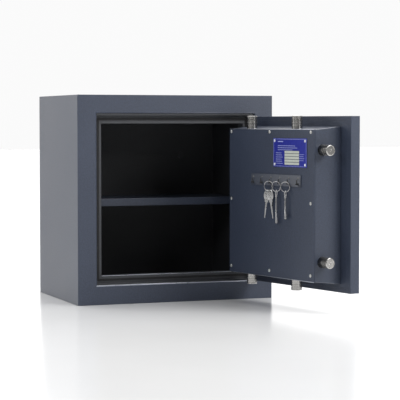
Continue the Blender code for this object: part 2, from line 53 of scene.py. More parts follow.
# A door piece is made with the door shut, then carried open by DOOR.
DOOR = Matrix.Translation(HINGE) @ Matrix.Rotation(OPEN, 4, "Z") @ Matrix.Translation(-HINGE)
# Along the open door from its free edge to its hinges, and through it from outside to inside.
ALONG = DOOR.to_3x3() @ Vector((1.0, 0.0, 0.0))
THROUGH = DOOR.to_3x3() @ Vector((0.0, 1.0, 0.0))
MM = 0.001


def shut_box(node):
    """Corners of a door node measured as if the door were shut."""
    back = DOOR.inverted()
    points = [back @ v.co for v in frame["nodes"][node].data.vertices]
    return (Vector([min(p[i] for p in points) for i in range(3)]),
            Vector([max(p[i] for p in points) for i in range(3)]))


# ------------------------------------------------------------------ shader building
class Wire:
    """One output socket, with arithmetic that adds Math nodes."""

    def __init__(self, nodes, socket):
        self.nodes, self.socket = nodes, socket

    def math(self, operation, *others):
        return self.nodes.add("ShaderNodeMath", {"operation": operation}, (self, *others))

    def __add__(self, other):
        return self.math("ADD", other)

    __radd__ = __add__

    def __sub__(self, other):
        return self.math("SUBTRACT", other)

    def __rsub__(self, other):
        return self.nodes.add("ShaderNodeMath", {"operation": "SUBTRACT"}, (other, self))

    def __mul__(self, other):
        return self.math("MULTIPLY", other)

    __rmul__ = __mul__

    def __truediv__(self, other):
        return self.math("DIVIDE", other)

    def __gt__(self, other):
        return self.math("GREATER_THAN", other)

    def fraction(self):
        return self.math("FRACT")

    def size(self):
        return self.math("ABSOLUTE")

    def ramp(self, low, high):
        """0 at low, 1 at high, clamped."""
        return self.nodes.add("ShaderNodeMapRange", {"clamp": True},
                              {"Value": self, "From Min": low, "From Max": high})


class Nodes:
    """A node tree and one way to add any node to it."""

    def __init__(self, tree):
        self.tree = tree

    def add(self, kind, settings=None, inputs=(), output=0):
        node = self.tree.nodes.new(kind)
        for key, value in (settings or {}).items():
            setattr(node, key, value)
        pairs = inputs.items() if isinstance(inputs, dict) else enumerate(inputs)
        for key, value in pairs:
            self.join(value, node.inputs[key])
        return Wire(self, node.outputs[output])

    def join(self, value, socket):
        if isinstance(value, Wire):
            self.tree.links.new(value.socket, socket)
        else:
            socket.default_value = value


class Finish(Nodes):
    """A material round a Principled shader."""

    def __init__(self, name, color=(0.5, 0.5, 0.5), metallic=0.0, roughness=0.5, **plain):
        self.material = bpy.data.materials.new(name)
        self.material.use_nodes = True
        super().__init__(self.material.node_tree)
        self.shader = self.tree.nodes["Principled BSDF"]
        values = {"Base Color": (*color, 1.0), "Metallic": metallic, "Roughness": roughness, **plain}
        for socket, value in values.items():
            self.shader.inputs[socket].default_value = value

    def place(self):
        return self.add("ShaderNodeTexCoord", output="Object")

    def along(self, direction):
        """Distance in metres along a direction."""
        return self.add("ShaderNodeVectorMath", {"operation": "DOT_PRODUCT"},
                        (self.place(), direction), "Value")

    def noise(self, scale, detail=2.0, roughness=0.5, vector=None):
        return self.add("ShaderNodeTexNoise", {"noise_dimensions": "3D"},
                        {"Vector": vector or self.place(), "Scale": scale, "Detail": detail,
                         "Roughness": roughness})

    def lines(self, value, scale, detail=1.0):
        return self.add("ShaderNodeTexNoise", {"noise_dimensions": "1D"},
                        {"W": value, "Scale": scale, "Detail": detail})

    def cells(self, scale, feature="F1"):
        return self.add("ShaderNodeTexVoronoi", {"feature": feature},
                        {"Vector": self.place(), "Scale": scale}, "Distance")

    def door_grain(self, scale):
        """Place measured along the open door's own directions, squeezed by scale."""
        return self.add("ShaderNodeMapping", {},
                        {"Vector": self.place(), "Rotation": (0.0, 0.0, -OPEN), "Scale": scale})

    def blend(self, mask, first, second):
        """Colour that runs from first to second as the mask runs from 0 to 1."""
        node = self.tree.nodes.new("ShaderNodeMix")
        node.data_type = "RGBA"
        # Mix has a set of sockets for each kind of data: these are its factor and its colours.
        factor, color_a, color_b, result = 0, 6, 7, 2
        self.join(mask, node.inputs[factor])
        for value, socket in ((first, node.inputs[color_a]), (second, node.inputs[color_b])):
            self.join(value if isinstance(value, Wire) else (*value, 1.0), socket)
        return Wire(self, node.outputs[result])

    def bump(self, height, distance, strength=1.0):
        made = self.add("ShaderNodeBump", {}, {"Height": height, "Distance": distance, "Strength": strength})
        self.join(made, self.shader.inputs["Normal"])

    def feed(self, **sockets):
        names = {"color": "Base Color", "rough": "Roughness"}
        for key, value in sockets.items():
            self.join(value, self.shader.inputs[names[key]])


def shade(color, amount):
    """A colour made darker or lighter."""
    return tuple(min(1.0, part * amount) for part in color)


# ------------------------------------------------------------------ finishes
def textured_paint(name, color, roughness=0.42, grain=1.0):
    """Powder coat with a fine pebbled skin and faint cloudiness."""
    made = Finish(name, color, 0.0, roughness, **{"IOR": 1.6})
    pebble = made.cells(330.0, feature="SMOOTH_F1")
    fine = made.noise(700.0, 3.0)
    cloud = made.noise(7.0, 3.0)
    speck = made.noise(400.0, 3.0, 0.7)
    dark, light, bright = shade(color, 0.82), shade(color, 1.13), shade(color, 1.42)
    tone = made.blend(cloud.ramp(0.3, 0.7), dark, light)
    made.feed(color=made.blend(speck.ramp(0.35, 0.70), made.blend(0.5, tone, dark), bright),
              rough=roughness - 0.05 + cloud * 0.07 + fine * 0.05)
    made.bump(pebble * 0.5 + fine * 0.5, 0.00050 * grain, 0.9)
    return made.material


def dull_steel(name, color=(0.30, 0.30, 0.29), roughness=0.42):
    """Flat bar with mill haze and fine scratches."""
    made = Finish(name, color, 1.0, roughness)
    haze = made.noise(26.0, 4.0, 0.6)
    scratch = made.noise(160.0, 3.0, 0.6, made.door_grain((1.0, 1.0, 14.0)))
    made.feed(color=made.blend(haze.ramp(0.3, 0.7), shade(color, 0.72), color),
              rough=roughness - 0.08 + haze * 0.16 + scratch * 0.06)
    made.bump(scratch, 0.00004, 0.5)
    return made.material


def turned_steel(name, direction, color=(0.62, 0.61, 0.59), tip=None):
    """Lathe-turned bar: rings across its axis, and, where a tip is given, painted shade darkening the shaft
    behind its faced tip.
    """
    made = Finish(name, color, 1.0, 0.30)
    travel = made.along(direction)
    coarse = made.lines(travel, 420.0, 2.0)
    fine = made.lines(travel, 2400.0, 1.0)
    smear = made.noise(90.0, 3.0)
    skin = made.blend(coarse.ramp(0.34, 0.62), shade(color, 0.60), color)
    if tip is not None:
        # Painted shade: from 1.2 mm behind the tip the shaft darkens, fully by 3.2 mm, standing in for the
        # shade and dark reflections on the side bolts.
        shade_from, shade_full = 1.2 * MM, 3.2 * MM
        skin = made.blend((travel - tip).ramp(shade_from, shade_full) * 0.85, skin, shade(color, 0.18))
    made.feed(color=skin, rough=0.12 + fine * 0.14 + smear * 0.08)
    made.bump(coarse * 0.7 + fine * 0.3, 0.00006, 0.6)
    return made.material


def plated(name, color, roughness=0.30):
    """Zinc or nickel plating with a soft mottle."""
    made = Finish(name, color, 1.0, roughness)
    mottle = made.cells(190.0)
    haze = made.noise(60.0, 3.0)
    made.feed(color=made.blend(haze.ramp(0.3, 0.75), shade(color, 0.8), color),
              rough=roughness - 0.06 + mottle * 0.10 + haze * 0.08)
    made.bump(haze, 0.00005, 0.5)
    return made.material


def polished(name, color=(0.78, 0.78, 0.79)):
    """Chrome with a breath of haze."""
    made = Finish(name, color, 1.0, 0.10)
    haze = made.noise(34.0, 4.0)
    hair = made.noise(700.0, 2.0)
    made.feed(color=made.blend(haze, shade(color, 0.93), color), rough=0.06 + haze * 0.08 + hair * 0.03)
    made.bump(hair, 0.000004, 0.3)
    return made.material


def rubber(name):
    """Matt seal with dust in its pores."""
    made = Finish(name, (0.018, 0.018, 0.020), 0.0, 0.72)
    dust = made.noise(240.0, 3.0)
    made.feed(color=made.blend(dust.ramp(0.55, 0.8) * 0.5, (0.014, 0.014, 0.016), (0.07, 0.07, 0.07)),
              rough=0.62 + dust * 0.2)
    made.bump(dust, 0.0001, 0.5)
    return made.material


def moulded(name, color=(0.028, 0.029, 0.033)):
    """Dark moulded plastic with a fine skin."""
    made = Finish(name, color, 0.0, 0.42)
    skin = made.noise(900.0, 2.0)
    cloud = made.noise(40.0, 2.0)
    made.feed(color=made.blend(cloud, shade(color, 0.8), shade(color, 1.3)),
              rough=0.36 + cloud * 0.1)
    made.bump(skin, 0.00006, 0.5)
    return made.material


def cast_fill(name):
    """Poured barrier fill: sand and small stones."""
    made = Finish(name, (0.36, 0.35, 0.33), 0.0, 0.9)
    sand = made.noise(420.0, 4.0)
    stone = made.cells(90.0)
    made.feed(color=made.blend(sand, (0.26, 0.255, 0.24), (0.46, 0.45, 0.42)), rough=0.84 + sand * 0.12)
    made.bump(sand * 0.6 + stone * 0.4, 0.0006, 0.7)
    return made.material


def printed_blue(name):
    """Anodised plate with faint vertical grain."""
    made = Finish(name, (0.020, 0.030, 0.330), 0.35, 0.34)
    grain = made.noise(300.0, 2.0, 0.5, made.door_grain((6.0, 6.0, 0.4)))
    made.feed(color=made.blend(grain.ramp(0.3, 0.7), (0.014, 0.020, 0.260), (0.034, 0.046, 0.420)),
              rough=0.30 + grain * 0.10)
    made.bump(grain, 0.00002, 0.4)
    return made.material


def ruled_label(name, bottom, pitch):
    """Pale panel ruled into rows of one pitch from its bottom edge up."""
    made = Finish(name, (0.55, 0.60, 0.55), 0.0, 0.5)
    height = made.along((0.0, 0.0, 1.0))
    row = ((height - bottom) / pitch).fraction()
    rule = (row - 0.5).size() > 0.36
    fibre = made.noise(800.0, 3.0)
    paper = made.blend(fibre, (0.46, 0.50, 0.44), (0.60, 0.63, 0.58))
    made.feed(color=made.blend(rule, paper, (0.17, 0.19, 0.20)), rough=0.46 + fibre * 0.1)
    made.bump(fibre, 0.00002, 0.4)
    return made.material


def pale_print(name, thin=(0.22, 0.27, 0.60), full=(0.50, 0.54, 0.78)):
    """Screen-printed ink, worn thin in places."""
    made = Finish(name, full, 0.0, 0.45)
    worn = made.noise(900.0, 3.0)
    made.feed(color=made.blend(worn, thin, full), rough=0.4 + worn * 0.1)
    made.bump(worn, 0.00001, 0.3)
    return made.material


SLATE = (0.031, 0.041, 0.068)
MATERIALS = {
    "slate": textured_paint("slate_paint", SLATE),
    "slate_gloss": textured_paint("slate_paint_rolled", SLATE, 0.24, 0.4),
    "slate_flat": textured_paint("slate_paint_fine", (0.033, 0.042, 0.066), 0.30, 0.6),
    "strip": textured_paint("strip_paint", (0.024, 0.032, 0.053), 0.42, 0.6),
    "dark": textured_paint("graphite_paint", (0.040, 0.043, 0.050), 0.46, 0.8),
    "lining": textured_paint("lining_paint", (0.012, 0.013, 0.016), 0.65, 0.8),
    "fill": cast_fill("barrier_fill"),
    "bar": dull_steel("mill_bar"),
    "plate": dull_steel("hard_plate", (0.22, 0.22, 0.225), 0.5),
    "zinc": plated("zinc_plate", (0.70, 0.70, 0.68)),
    "steel": plated("bright_steel", (0.62, 0.62, 0.62), 0.26),
    "brass": plated("brass_metal", (0.72, 0.52, 0.22), 0.28),
    "chrome": polished("chrome_plate"),
    # Painted highlight: a light metal finish for the edge strips, standing in for the light that the mouth,
    # stop and cover edges catch.
    "edge": plated("painted_highlight_edge", (0.56, 0.59, 0.66), 0.28),
    "rubber": rubber("black_rubber"),
    "plastic": moulded("black_plastic"),
    "blue": printed_blue("blue_plate"),
    "print": pale_print("pale_print"),
    "pale": pale_print("pale_cap", (0.66, 0.67, 0.70), (0.80, 0.81, 0.84)),
    "upright": turned_steel("turned_upright", (0.0, 0.0, 1.0)),
    # Side bolts get painted shade on the shaft behind the tip.
    "sideways": turned_steel("turned_side", tuple(ALONG), tip=min(
        ALONG.dot(v.co) for v in frame["nodes"]["side_bolt_lower"].data.vertices)),
    "spindle": turned_steel("turned_spindle", tuple(THROUGH)),
}
LABEL_ROWS = 5
label_low, label_high = shut_box("rating_label")
MATERIALS["label"] = ruled_label("ruled_label", label_low.z, (label_high.z - label_low.z) / LABEL_ROWS)

NODE_FINISH = {
    "slate": ("outer_casing", "door_panel", "cover_plate", "door_back_plate", "hinge_frame_leaf_lower",
              "hinge_frame_leaf_upper", "hinge_door_leaf_lower", "hinge_door_leaf_upper"),
    "slate_flat": ("boltwork_box", "shelf"),
    "dark": ("door_frame", "shelf_rail_left", "shelf_rail_right"),
    "lining": ("inner_lining",),
    "fill": ("wall_filling", "door_filling"),
    "bar": ("side_carriage", "top_bolt_bar", "bottom_bolt_bar", "hub_pinion", "bolt_guide_top",
            "bolt_guide_bottom"),
    "plate": ("drill_plate",),
    "zinc": tuple("cover_screw_%d" % i for i in range(1, 9)) + ("lock_case",),
    "steel": ("hinge_pin_lower", "hinge_pin_upper"),
    "brass": ("hinge_washer_lower", "hinge_washer_upper", "lock_bolt", "spindle_bush"),
    "chrome": ("key_escutcheon", "key_cover_pin", "handle_rose", "key_cover"),
    "rubber": ("door_seal",),
    "plastic": ("anchor_plug_1", "anchor_plug_2"),
    "blue": ("rating_plate",),
    "label": ("rating_label",),
    "spindle": ("handle_spindle",),
}


def finish_node(node, kind):
    """Gives a CAD node one finish all over."""
    slots = frame["nodes"][node].material_slots
    for slot in slots:
        slot.material = MATERIALS[kind]
    if not slots:
        frame["nodes"][node].data.materials.append(MATERIALS[kind])


for kind, nodes in NODE_FINISH.items():
    for node in nodes:
        finish_node(node, kind)


def ease(node, width, segments=2):
    """Rounds a CAD node's edges so that they catch the light."""
    piece = frame["nodes"][node]
    weld = piece.modifiers.new("weld", "WELD")
    weld.merge_threshold = 0.00001
    bevel = piece.modifiers.new("edge", "BEVEL")
    bevel.width, bevel.segments = width * MM, segments
    bevel.limit_method, bevel.angle_limit = "ANGLE", math.radians(50)


# ------------------------------------------------------------------ modelling by hand
def clear():
    """Back to object mode with nothing selected."""
    if bpy.context.object and bpy.context.object.mode != "OBJECT":
        bpy.ops.object.mode_set(mode="OBJECT")
    bpy.ops.object.select_all(action="DESELECT")


def take(piece):
    """Selects one piece alone and makes it active."""
    clear()
    piece.select_set(True)
    bpy.context.view_layer.objects.active = piece


def begin_edit(piece, kind="FACE"):
    take(piece)
    bpy.ops.object.mode_set(mode="EDIT")
    bpy.ops.mesh.select_mode(type=kind)
    bpy.ops.mesh.select_all(action="DESELECT")


def pick(piece, test):
    """Selects the faces that pass the test."""
    mesh = bmesh.from_edit_mesh(piece.data)
    for face in mesh.faces:
        face.select = bool(test(face))
    mesh.select_flush_mode()
    bmesh.update_edit_mesh(piece.data)


def end_edit(smooth=35.0):
    """Merges doubles, turns faces outward, and smooths below an angle in degrees."""
    bpy.ops.mesh.select_all(action="SELECT")
    bpy.ops.mesh.remove_doubles(threshold=0.000001)
    bpy.ops.mesh.normals_make_consistent(inside=False)
    bpy.ops.object.mode_set(mode="OBJECT")
    if smooth:
        bpy.ops.object.shade_smooth_by_angle(angle=math.radians(smooth))


def slab(name, low, high):
    """Box between two corners, left in object mode."""
    clear()
    bpy.ops.mesh.primitive_cube_add(size=1.0, location=(Vector(low) + Vector(high)) / 2)
    piece = bpy.context.object
    piece.name = name
    piece.scale = Vector(high) - Vector(low)
    bpy.ops.object.transform_apply(location=True, rotation=True, scale=True)
    return piece


def turned(name, profile, sides=64):
    """Solid of revolution about Z from (height, radius) steps in mm, made by extruding a disc."""
    clear()
    height, radius = profile[0]
    bpy.ops.mesh.primitive_circle_add(vertices=sides, radius=radius * MM, fill_type="NGON",
                                      location=(0.0, 0.0, height * MM))
    piece = bpy.context.object
    piece.name = name
    bpy.ops.object.transform_apply(location=True, rotation=True, scale=True)
    begin_edit(piece)
    bpy.ops.mesh.select_all(action="SELECT")
    for step, size in profile[1:]:
        bpy.ops.mesh.extrude_region_move(TRANSFORM_OT_translate={"value": (0.0, 0.0, (step - height) * MM)})
        bpy.ops.transform.resize(value=(size / radius, size / radius, 1.0),
                                 center_override=(0.0, 0.0, step * MM))
        height, radius = step, size
    end_edit()
    return piece


def finish_modifiers(piece):
    take(piece)
    for modifier in list(piece.modifiers):
        bpy.ops.object.modifier_apply(modifier=modifier.name)


def round_edges(piece, width, segments=2):
    """Rounds every sharp edge by a width in mm."""
    bevel = piece.modifiers.new("round", "BEVEL")
    bevel.width, bevel.segments = width * MM, segments
    bevel.limit_method, bevel.angle_limit = "ANGLE", math.radians(40.0)
    finish_modifiers(piece)
    bpy.ops.object.shade_smooth_by_angle(angle=math.radians(40.0))
    return piece


def carve(piece, cutters, operation="DIFFERENCE"):
    """Cuts the cutters out of a piece, or joins them to it, and uses them up."""
    for cutter in cutters:
        step = piece.modifiers.new("carve", "BOOLEAN")
        step.operation, step.solver, step.object = operation, "EXACT", cutter
    finish_modifiers(piece)
    for cutter in cutters:
        bpy.data.objects.remove(cutter, do_unlink=True)
    take(piece)
    bpy.ops.object.shade_smooth_by_angle(angle=math.radians(35.0))
    return piece


def lay(piece, matrix):
    """Puts a piece's place into its mesh, with its object at the origin."""
    piece.data.transform(matrix @ piece.matrix_world)
    piece.matrix_world = Matrix.Identity(4)
    return piece


def lay_copy(pattern, name, matrix):
    """A copy of a finished pattern, with its own mesh, laid at its place."""
    copy = bpy.data.objects.new(name, pattern.data.copy())
    bpy.context.scene.collection.objects.link(copy)
    return lay(copy, matrix)


def put_away(*patterns):
    """Removes patterns that have been copied."""
    for pattern in patterns:
        bpy.data.objects.remove(pattern, do_unlink=True)


def add_piece(piece, body, kind, replaces=()):
    """Hands a finished piece over: its finish, its body and the CAD nodes it stands for."""
    piece.data.materials.clear()
    piece.data.materials.append(MATERIALS[kind])
    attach(piece, body)
    if replaces:
        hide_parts(*replaces)


# Turns that point a piece built upward along +Z another way.
AIM = {"+z": Matrix.Identity(4), "-z": Matrix.Rotation(math.pi, 4, "X"),
       "-x": Matrix.Rotation(-math.pi / 2, 4, "Y"), "-y": Matrix.Rotation(math.pi / 2, 4, "X"),
       "+y": Matrix.Rotation(-math.pi / 2, 4, "X")}


def aimed(where, way):
    """Place and turn for a piece that starts at where and points the given way."""
    return Matrix.Translation(where) @ AIM[way]


# ------------------------------------------------------------------ bolts
# Oil grooves' places back from the tip and their depth, and the radius of the lathe centre, in mm.
BOLT_GROOVES = (15.0, 9.0)
GROOVE_DEEP = 0.45
CENTRE_HOLE = 2.4


def bolt_profile(length, radius):
    """Chamfered root, two oil grooves, and a faced tip with a raised rim and a lathe centre, in mm."""
    steps = [(0.0, radius - 0.8), (0.8, radius)]
    for from_tip in BOLT_GROOVES:
        mark = length - from_tip
        steps += [(mark, radius), (mark + 0.35, radius - GROOVE_DEEP), (mark + 0.95, radius - GROOVE_DEEP),
                  (mark + 1.3, radius)]
    tip = ((2.6, 0.0), (2.3, 0.35), (1.9, 0.35), (1.7, 0.05), (0.7, 0.05), (0.15, 0.6), (0.0, 1.2),
           (0.0, 2.6), (0.45, 3.0))
    steps += [(length - back, radius - inward) for back, inward in tip]
    return steps + [(length - 0.45, CENTRE_HOLE), (length - 1.6, 1.0)]


def make_bolts():
    """Six round bolts, each as long and thick as the CAD bolt that it stands for."""
    groups = (("top_bolt_lock", "top_bolt_hinge", "+z", "top_bolts", "upright"),
              ("bottom_bolt_lock", "bottom_bolt_hinge", "-z", "bottom_bolts", "upright"),
              ("side_bolt_lower", "side_bolt_upper", "-x", "side_bolts", "sideways"))
    for first, second, way, body, kind in groups:
        for node in (first, second):
            low, high = shut_box(node)
            axis = 0 if way == "-x" else 2
            length = (high[axis] - low[axis]) / MM
            radius = (high.y - low.y) / 2 / MM
            root = (low + high) / 2
            root[axis] = low[axis] if way == "+z" else high[axis]
            bolt = turned(node + "_turned", bolt_profile(length, radius), 72)
            lay(bolt, DOOR @ aimed(root, way))
            add_piece(bolt, body, kind, (node,))


# ------------------------------------------------------------------ keys
def split_ring(name, radius, wire):
    """Two turns of round wire wound flat against each other, about Y."""
    clear()
    bpy.ops.mesh.primitive_circle_add(vertices=12, radius=wire * MM, fill_type="NOTHING",
                                      location=(radius * MM, 0.0, 0.0), rotation=(math.pi / 2, 0.0, 0.0))
    piece = bpy.context.object
    piece.name = name
    bpy.ops.object.transform_apply(location=True, rotation=True, scale=True)
    lay(piece, Matrix.Rotation(math.pi / 2, 4, "X"))
    wound = 690.0
    screw = piece.modifiers.new("turns", "SCREW")
    screw.axis, screw.angle = "Y", math.radians(wound)
    screw.steps = screw.render_steps = 84
    screw.screw_offset = wire * 2.0 * MM * wound / 360.0
    screw.use_merge_vertices = False
    finish_modifiers(piece)
    begin_edit(piece, "EDGE")
    bpy.ops.mesh.select_non_manifold()
    bpy.ops.mesh.fill_holes(sides=0)
    end_edit(60.0)
    return piece


def long_key(name, length, x, y, top):
    """Double-bit safe key: open oval bow, collared stem and notched bits."""
    bow_radius, bit_reach, bit_half = 6.6, 6.6, 0.9
    clear()
    bpy.ops.mesh.primitive_torus_add(major_radius=bow_radius * MM, minor_radius=1.35 * MM, major_segments=40,
                                     minor_segments=12, rotation=(math.pi / 2, 0.0, 0.0))
    bow = bpy.context.object
    bow.name = name
    bpy.ops.object.transform_apply(location=True, rotation=True, scale=True)
    bow.scale = (1.18, 0.8, 1.0)
    bow.location = (x, y, top - bow_radius * MM)
    take(bow)
    bpy.ops.object.transform_apply(location=True, rotation=True, scale=True)
    base = top - 13.0 * MM
    stem = turned(name + "_stem", [(0.0, 2.1), (1.0, 2.9), (2.6, 2.9), (3.4, 1.95), (length - 16.0, 1.95),
                                   (length - 15.4, 2.3), (length - 14.6, 2.3), (length - 14.0, 1.95),
                                   (length - 1.0, 1.95), (length, 1.2)], 24)
    lay(stem, aimed((x, y, base + 0.6 * MM), "-z"))
    bits = []
    for side in (-1, 1):
        edge = x + side * bit_reach * MM
        blade = slab(name + "_bit", (min(x, edge), y - bit_half * MM, base - (length - 1.6) * MM),
                     (max(x, edge), y + bit_half * MM, base - (length - 12.6) * MM))
        cuts = []
        for i, deep in enumerate((2.6, 1.4, 3.4)):
            z = base - (length - 3.4 - i * 3.2) * MM
            near = x + side * (bit_reach - (deep if side > 0 else 4.2 - deep)) * MM
            far = x + side * 9.0 * MM
            cuts.append(slab("cut", (min(near, far), y - 3 * MM, z),
                             (max(near, far), y + 3 * MM, z + 1.5 * MM)))
        bits.append(carve(blade, cuts))
    return carve(bow, [stem] + bits, "UNION")


def flat_key(name, length, x, y, top, tilt):
    """Small cylinder key: long oval bow with a slot, cut blade, hanging at a tilt."""
    bow = turned(name, [(-0.9, 8.0), (-0.65, 8.6), (0.65, 8.6), (0.9, 8.0)], 48)
    lay(bow, Matrix.Diagonal((1.0, 1.0, 1.45, 1.0)) @ AIM["+y"])
    lay(bow, Matrix.Translation((0.0, 0.0, -12.5 * MM)))
    neck = slab("neck", (-4.4 * MM, -0.9 * MM, -29.0 * MM), (4.4 * MM, 0.9 * MM, -22.0 * MM))
    blade = slab("blade", (-2.4 * MM, -0.7 * MM, -length * MM), (2.4 * MM, 0.7 * MM, -26.0 * MM))
    begin_edit(blade)
    pick(blade, lambda f: f.normal.z < -0.9)
    bpy.ops.transform.resize(value=(0.45, 1.0, 1.0), center_override=(0.0, 0.0, -length * MM))
    end_edit()
    cuts = [slab("hole", (-3.6 * MM, -3 * MM, -5.4 * MM), (3.6 * MM, 3 * MM, -2.2 * MM))]
    for i, deep in enumerate((0.7, 1.2, 0.5, 1.0)):
        z = -(length - 5.0 - i * 4.6) * MM
        cuts.append(slab("notch", ((2.4 - deep) * MM, -3 * MM, z), (6 * MM, 3 * MM, z + 2.3 * MM)))
    carve(bow, [blade, neck], "UNION")
    carve(bow, cuts)
    lay(bow, Matrix.Translation((x, y, top)) @ Matrix.Rotation(math.radians(tilt), 4, "Y"))
    return bow


def make_keys():
    """A ring on each of three hooks, turned a little, with a pair of small keys or one long key."""
    wire, radius, set_turn, long_turn = 0.62, 11.5, 25.0, -48.0
    for node in ("key_set_1", "key_set_2", "key_set_3"):
        low, high = shut_box(node)
        hang = high.z - (2 * radius + 2 * wire) * MM + 2.2 * MM
        centre = Vector(((low.x + high.x) / 2, (low.y + high.y) / 2 + 2.2 * MM, 0.0))
        if node != "key_set_1":
            centre.x = high.x - 7.5 * MM
        turn = DOOR @ Matrix.Translation(centre) @ Matrix.Rotation(math.radians(set_turn), 4, "Z")
        loop = split_ring(node + "_ring", radius, wire)
        lay(loop, Matrix.Translation((0.0, -wire * MM, high.z - (radius + wire) * MM)))
        drop = (hang - low.z) / MM
        if node == "key_set_1":
            keys = [flat_key(node + "_left", drop - 1.0, 3.2 * MM, -1.4 * MM, hang + 1.5 * MM, -7.0),
                    flat_key(node + "_right", drop, -3.2 * MM, 1.6 * MM, hang + 1.5 * MM, 8.0)]
        else:
            key = long_key(node + "_key", drop - 13.0, 0.0, 0.0, hang + 1.1 * MM)
            keys = [lay(key, Matrix.Rotation(math.radians(long_turn), 4, "Z"))]
        add_piece(lay(loop, turn), "door", "steel", (node,))
        for key in keys:
            add_piece(lay(key, turn), "door", "steel")


# ------------------------------------------------------------------ key hooks
# Number of hooks, and how far the outer ones stand in from the strip's ends.
HOOKS, HOOK_MARGIN = 6, 10.0 * MM


def bent_peg(reach):
    """Peg that runs out along +Y from the strip's face, bends up and ends in a small tip."""
    sunk, bend_radius = 0.4 * MM, 2.6 * MM
    clear()
    bpy.ops.mesh.primitive_circle_add(vertices=16, radius=1.4 * MM, fill_type="NGON",
                                      location=(0.0, -sunk, 0.0), rotation=(math.pi / 2, 0.0, 0.0))
    peg = bpy.context.object
    peg.name = "peg"
    bpy.ops.object.transform_apply(location=True, rotation=True, scale=True)
    begin_edit(peg)
    bpy.ops.mesh.select_all(action="SELECT")
    bpy.ops.mesh.extrude_region_move(TRANSFORM_OT_translate={"value": (0.0, reach, 0.0)})
    bend = reach - sunk
    bpy.ops.mesh.spin(steps=8, angle=math.radians(90.0), center=(0.0, bend, bend_radius),
                      axis=(1.0, 0.0, 0.0), use_auto_merge=True)
    for rise in (6.6, 0.9):
        bpy.ops.mesh.extrude_region_move(TRANSFORM_OT_translate={"value": (0.0, 0.0, rise * MM)})
    bpy.ops.transform.resize(value=(0.6, 0.6, 1.0), center_override=(0.0, bend + bend_radius, 0.0))
    end_edit(50.0)
    return peg


def hook_rivet(radius):
    """Low domed rivet head, facing +Z, with its radius in mm."""
    return turned("rivet", [(-0.3, radius), (0.15, radius), (0.6, radius * 0.75), (0.8, radius * 0.35)], 24)


def make_hooks():
    """Painted strip with six bent pegs, each on a foot and with a rivet above."""
    node = "key_hook_rail"
    low, high = shut_box(node)
    face = low.y + 1.6 * MM
    strip = slab(node + "_strip", low, (high.x, face, high.z))
    begin_edit(strip)
    pick(strip, lambda f: f.normal.y > 0.9)
    bpy.ops.mesh.inset(thickness=0.5 * MM, depth=0.0)
    end_edit()
    round_edges(strip, 0.5)
    lay(strip, DOOR)
    add_piece(strip, "door", "strip", (node,))
    foot_z, rivet_z = low.z + 6.5 * MM, high.z - 7.0 * MM
    span = high.x - low.x - 2 * HOOK_MARGIN
    patterns = (("key_hook", bent_peg(high.y - face - 3.9 * MM), foot_z, Matrix.Identity(4), "plastic"),
                ("hook_rivet_high", hook_rivet(1.9), rivet_z, AIM["+y"], "bar"),
                ("hook_rivet_foot", hook_rivet(2.7), foot_z, AIM["+y"], "plastic"))
    for i in range(HOOKS):
        x = low.x + HOOK_MARGIN + span * i / (HOOKS - 1)
        for name, pattern, z, turn, kind in patterns:
            place = DOOR @ Matrix.Translation((x, face, z)) @ turn
            add_piece(lay_copy(pattern, "%s_%d" % (name, i + 1), place), "door", kind)
    put_away(*(pattern for _, pattern, *_ in patterns))


# ------------------------------------------------------------------ rating plate print
def printed_bars():
    """Stand-ins for lines of print: start and end across the plate and depth below its top, each as a part
    of the plate's own size, then thickness in mm."""
    bars = [(0.14, 0.30, 0.13, 1.9)]
    bars += [(0.14, end, 0.27 + i * 0.07, 1.1) for i, end in enumerate((0.66, 0.72, 0.58))]
    bars += [(0.08, 0.25 + 0.02 * (i % 3), 0.52 + i * 0.073, 1.1) for i in range(6)]
    bars += [(0.78, 0.93 - 0.02 * (i % 2), 0.56 + i * 0.07, 0.9) for i in range(4)]
    return bars


def make_print():
    """Plain printed bars, a border and four rivets: no lettering."""
    low, high = shut_box("rating_plate")
    face = label_low.y - 0.3 * MM
    width, tall = high.x - low.x, high.z - low.z
    for i, (start, end, down, thick) in enumerate(printed_bars()):
        foot = high.z - down * tall
        piece = slab("rating_line_%d" % (i + 1), (high.x - end * width, face + 0.02 * MM, foot),
                     (high.x - start * width, face + 0.14 * MM, foot + thick * MM))
        begin_edit(piece)
        pick(piece, lambda f: f.normal.y > 0.9)
        bpy.ops.mesh.inset(thickness=0.12 * MM, depth=0.03 * MM)
        end_edit(0)
        lay(piece, DOOR)
        add_piece(piece, "door", "print")
    margin = 6 * MM
    corners = [(x, z) for x in (low.x + margin, high.x - margin) for z in (low.z + margin, high.z - margin)]
    rivet = turned("rivet", [(0.0, 3.1), (0.5, 3.1), (1.1, 2.2), (1.35, 0.9)], 28)
    for i, (x, z) in enumerate(corners):
        place = DOOR @ aimed((x, face + 0.05 * MM, z), "+y")
        add_piece(lay_copy(rivet, "rating_rivet_%d" % (i + 1), place), "door", "pale")
    put_away(rivet)
    outside, inside = 1.6 * MM, 2.3 * MM
    rim = slab("rating_border", (low.x + outside, face + 0.02 * MM, low.z + outside),
               (high.x - outside, face + 0.12 * MM, high.z - outside))
    window = slab("rim_window", (low.x + inside, face - 1 * MM, low.z + inside),
                  (high.x - inside, face + 1 * MM, high.z - inside))
    carve(rim, [window])
    lay(rim, DOOR)
    add_piece(rim, "door", "print")


